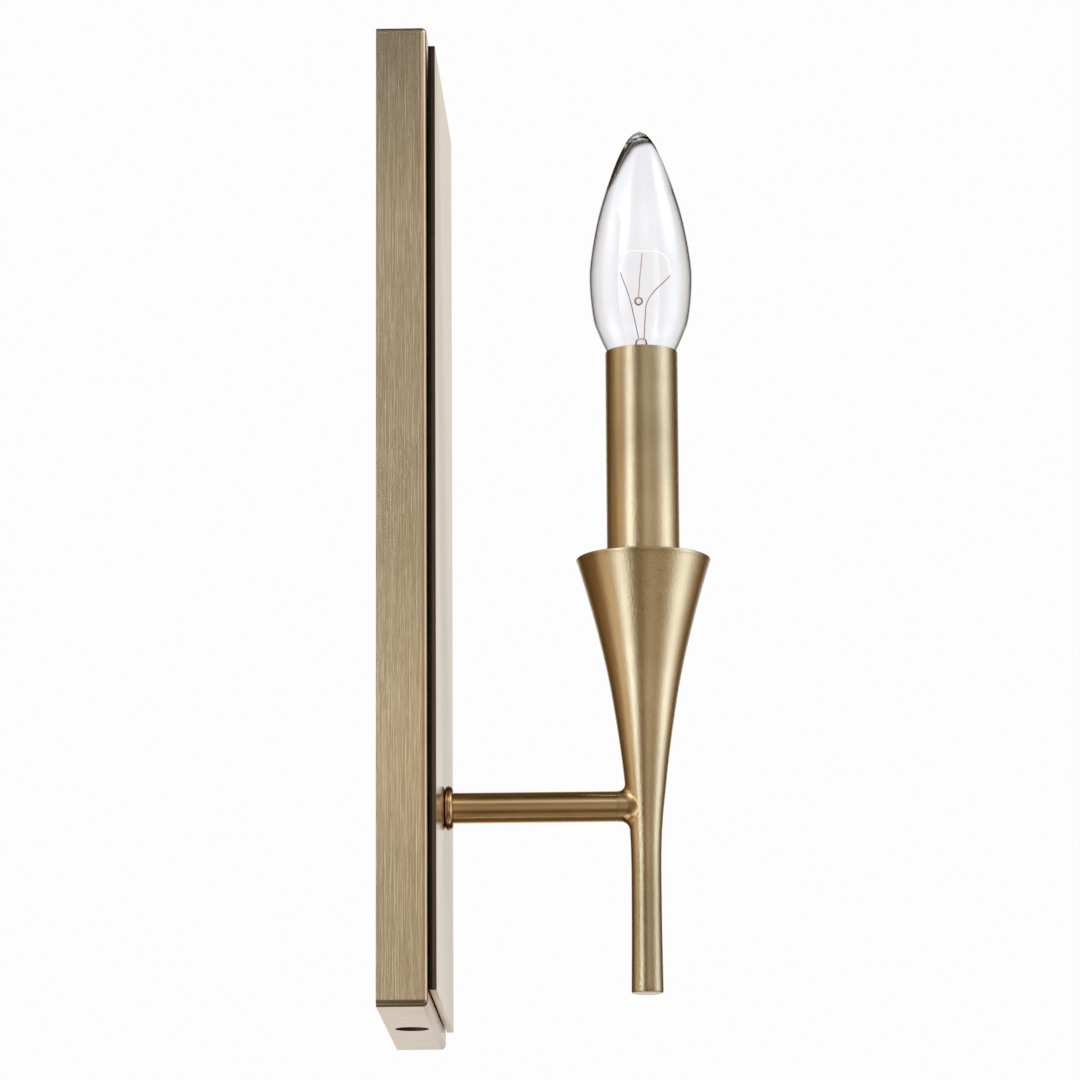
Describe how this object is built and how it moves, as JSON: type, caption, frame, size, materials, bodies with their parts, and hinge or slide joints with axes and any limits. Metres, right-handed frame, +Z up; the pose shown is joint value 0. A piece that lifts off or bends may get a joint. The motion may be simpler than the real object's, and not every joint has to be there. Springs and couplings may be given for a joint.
{
  "type": "candle-style wall sconce",
  "caption": "Brushed brass wall sconce: a tall wall box with a floating front plate, a straight arm, a trumpet cup on a slim stem, a candle sleeve and a clear flame-shaped bulb.",
  "frame": {"origin": "middle of the mounting strap's wall face, which is the middle of the wall box's back", "axes": "+Z up, +Y into the wall, -Y out into the room along the arm, X across the wall box"},
  "size_m": [0.1142, 0.0997, 0.2986],
  "materials": {
    "natural_brass": "finely brushed antique brass under clear lacquer",
    "plain_brass": "plain turned or pressed brass",
    "zinc_steel": "zinc-plated steel",
    "green_steel": "green-tinted steel",
    "phenolic": "moulded black-brown phenolic",
    "fibre": "pressed insulating fibre",
    "nylon": "moulded white nylon",
    "clear_glass": "clear blown glass",
    "nickel_wire": "drawn nickel wire",
    "tungsten": "wound tungsten wire",
    "solder": "tinned solder"
  },
  "bodies": {
    "fixture": {"wall_box": "natural_brass", "front_plate": "natural_brass", "plate_nut_1": "zinc_steel", "plate_nut_2": "zinc_steel", "plate_nut_3": "zinc_steel", "plate_nut_4": "zinc_steel", "mounting_strap": "zinc_steel", "hanger_bracket": "zinc_steel", "lock_bracket": "zinc_steel", "ground_screw": "green_steel", "arm_nipple": "plain_brass", "box_washer": "zinc_steel", "toothed_washer": "zinc_steel", "nipple_nut": "zinc_steel", "nipple_bushing": "nylon", "arm_collar": "natural_brass", "arm_tube": "natural_brass", "stem_and_cup": "natural_brass", "holder_nipple": "plain_brass", "holder_bracket": "zinc_steel", "bracket_nut": "zinc_steel", "holder_screw": "zinc_steel", "lampholder_body": "phenolic", "lampholder_shell": "plain_brass", "centre_contact": "plain_brass", "terminal_screw_live": "plain_brass", "terminal_screw_neutral": "zinc_steel", "fibre_liner": "fibre"},
    "sleeve": {"candle_sleeve": "natural_brass"},
    "bulb_foot": {"bulb_foot_contact": "solder"},
    "bulb": {"bulb_glass": "clear_glass", "bulb_cap": "plain_brass", "bulb_insulator": "phenolic", "bulb_mount": "clear_glass", "bulb_bead": "clear_glass", "lead_wire_wall_side": "nickel_wire", "lead_wire_room_side": "nickel_wire", "filament_support": "nickel_wire", "filament": "tungsten"},
    "lock_washer": {"lock_washer": "zinc_steel"},
    "lock_screw": {"lock_screw": "zinc_steel"}
  },
  "joints": [
    {"name": "sleeve_turn", "type": "hinge", "parent": "fixture", "child": "sleeve", "pos_m": [0, -0.079, 0.0124], "axis": [0, 0, 1], "continuous": true},
    {"name": "bulb_rise", "type": "slide", "parent": "fixture", "child": "bulb_foot", "axis": [0, 0, 1], "range_m": [0, 0.0102]},
    {"name": "bulb_turn", "type": "hinge", "parent": "bulb_foot", "child": "bulb", "pos_m": [0, -0.079, 0.0339], "axis": [0, 0, 1], "range_deg": [0, 1440]},
    {"name": "lock_screw_travel", "type": "slide", "parent": "fixture", "child": "lock_washer", "axis": [0, 0, -1], "range_m": [0, 0.007]},
    {"name": "lock_screw_turn", "type": "hinge", "parent": "lock_washer", "child": "lock_screw", "pos_m": [0, -0.0076, -0.128], "axis": [0, 0, -1], "range_deg": [0, 3601]}
  ],
  "couplings": [
    {"joint": "bulb_rise", "follows": "bulb_turn", "m_per_rad": 0.00040425},
    {"joint": "lock_screw_turn", "follows": "lock_screw_travel", "rad_per_m": 8976}
  ]
}
